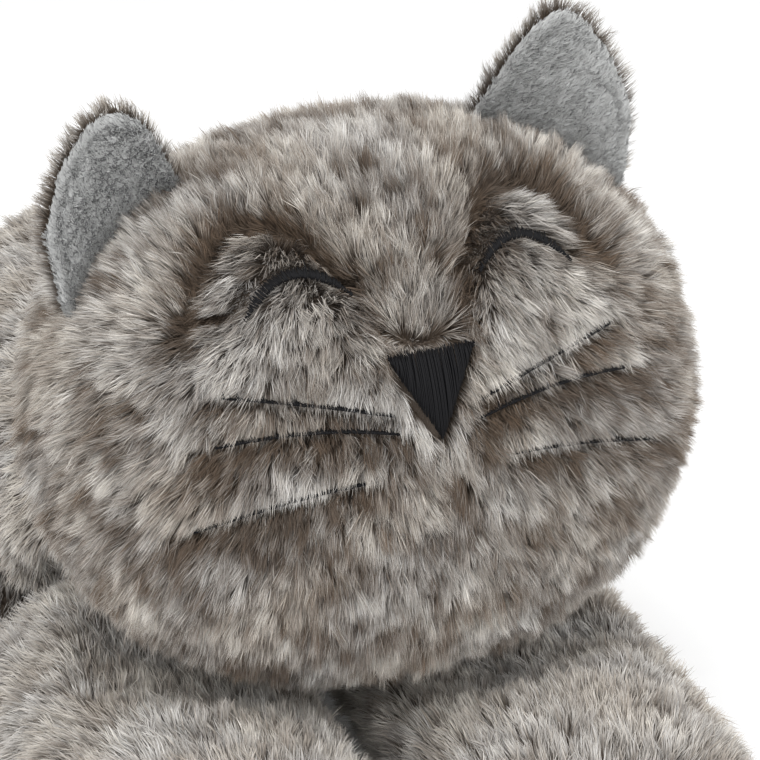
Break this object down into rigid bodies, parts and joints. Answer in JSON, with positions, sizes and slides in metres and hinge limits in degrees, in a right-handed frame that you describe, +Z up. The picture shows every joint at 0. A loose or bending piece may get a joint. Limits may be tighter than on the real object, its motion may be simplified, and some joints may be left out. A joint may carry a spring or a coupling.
{
  "type": "plush cat",
  "caption": "Lying faux-fur soft toy cat with stitched smiling eyes, nose and whiskers, upright lined ears, and a stuffed head, legs and tail sewn to a stuffed body.",
  "frame": {"origin": "middle of the base, under the belly: the centre of the bounding box on the surface that the toy lies on", "axes": "+Z up, the cat faces -Y, its left side is +X"},
  "size_m": [0.295, 0.5455, 0.3033],
  "materials": {
    "fur_fabric": "long-pile faux fur, dark at the roots and pale at the tips",
    "velboa_lining": "short brushed pile",
    "embroidery_thread": "satin stitch in glossy polyester thread",
    "fibre_filling": "loose polyester fibre",
    "label_tape": "woven satin tape, blank"
  },
  "bodies": {
    "torso": {"body_side_left": "fur_fabric", "body_side_right": "fur_fabric", "body_belly": "fur_fabric", "body_stuffing": "fibre_filling", "care_label": "label_tape"},
    "neck_lower": {"neck_stuffing": "fibre_filling"},
    "neck_upper": {"neck_seam_ring": "fur_fabric"},
    "head": {"head_face_left": "fur_fabric", "head_face_right": "fur_fabric", "head_back_left": "fur_fabric", "head_back_right": "fur_fabric", "head_stuffing": "fibre_filling", "nose_stitching": "embroidery_thread", "eye_left_stitching": "embroidery_thread", "eye_right_stitching": "embroidery_thread", "whisker_left_upper": "embroidery_thread", "whisker_left_middle": "embroidery_thread", "whisker_left_lower": "embroidery_thread", "whisker_right_upper": "embroidery_thread", "whisker_right_middle": "embroidery_thread", "whisker_right_lower": "embroidery_thread"},
    "ear_left": {"ear_left_back": "fur_fabric", "ear_left_lining": "velboa_lining"},
    "ear_right": {"ear_right_back": "fur_fabric", "ear_right_lining": "velboa_lining"},
    "foreleg_left": {"foreleg_left_upper": "fur_fabric", "foreleg_left_under": "fur_fabric", "foreleg_left_stuffing": "fibre_filling"},
    "foreleg_right": {"foreleg_right_upper": "fur_fabric", "foreleg_right_under": "fur_fabric", "foreleg_right_stuffing": "fibre_filling"},
    "hindleg_left": {"hindleg_left_upper": "fur_fabric", "hindleg_left_under": "fur_fabric", "hindleg_left_stuffing": "fibre_filling"},
    "hindleg_right": {"hindleg_right_upper": "fur_fabric", "hindleg_right_under": "fur_fabric", "hindleg_right_stuffing": "fibre_filling"},
    "tail": {"tail_upper": "fur_fabric", "tail_under": "fur_fabric", "tail_stuffing": "fibre_filling"}
  },
  "joints": [
    {"name": "head_turn", "type": "hinge", "parent": "torso", "child": "neck_lower", "pos_m": [0, -0.062, 0.138], "axis": [0, 0, 1], "range_deg": [-15, 15], "stiffness_Nm_per_rad": 0.6},
    {"name": "head_tilt", "type": "hinge", "parent": "neck_lower", "child": "neck_upper", "pos_m": [0, -0.062, 0.138], "axis": [0, 1, 0], "range_deg": [-8, 20], "stiffness_Nm_per_rad": 0.8},
    {"name": "head_nod", "type": "hinge", "parent": "neck_upper", "child": "head", "pos_m": [0, -0.062, 0.138], "axis": [1, 0, 0], "range_deg": [-10, 0], "stiffness_Nm_per_rad": 0.8},
    {"name": "ear_left_flop", "type": "hinge", "parent": "head", "child": "ear_left", "pos_m": [0.07084, -0.13979, 0.24967], "axis": [0.806, -0.2238, -0.5479], "range_deg": [-25, 10], "stiffness_Nm_per_rad": 0.05},
    {"name": "ear_right_flop", "type": "hinge", "parent": "head", "child": "ear_right", "pos_m": [-0.08928, -0.14969, 0.22718], "axis": [0.5915, 0.3102, 0.7442], "range_deg": [-25, 10], "stiffness_Nm_per_rad": 0.05},
    {"name": "foreleg_left_spread", "type": "hinge", "parent": "torso", "child": "foreleg_left", "pos_m": [0.0645, -0.077, 0.043], "axis": [0, 0, 1], "range_deg": [0, 35], "stiffness_Nm_per_rad": 0.3},
    {"name": "foreleg_right_spread", "type": "hinge", "parent": "torso", "child": "foreleg_right", "pos_m": [-0.0645, -0.077, 0.043], "axis": [0, 0, -1], "range_deg": [0, 35], "stiffness_Nm_per_rad": 0.3},
    {"name": "hindleg_left_spread", "type": "hinge", "parent": "torso", "child": "hindleg_left", "pos_m": [0.09, 0.15, 0.056], "axis": [0, 0, 1], "range_deg": [0, 30], "stiffness_Nm_per_rad": 0.3},
    {"name": "hindleg_right_spread", "type": "hinge", "parent": "torso", "child": "hindleg_right", "pos_m": [-0.09, 0.15, 0.056], "axis": [0, 0, -1], "range_deg": [0, 30], "stiffness_Nm_per_rad": 0.3},
    {"name": "tail_swing", "type": "hinge", "parent": "torso", "child": "tail", "pos_m": [0, 0.2267, 0.022], "axis": [0, 0, 1], "range_deg": [0, 60], "stiffness_Nm_per_rad": 0.05}
  ]
}
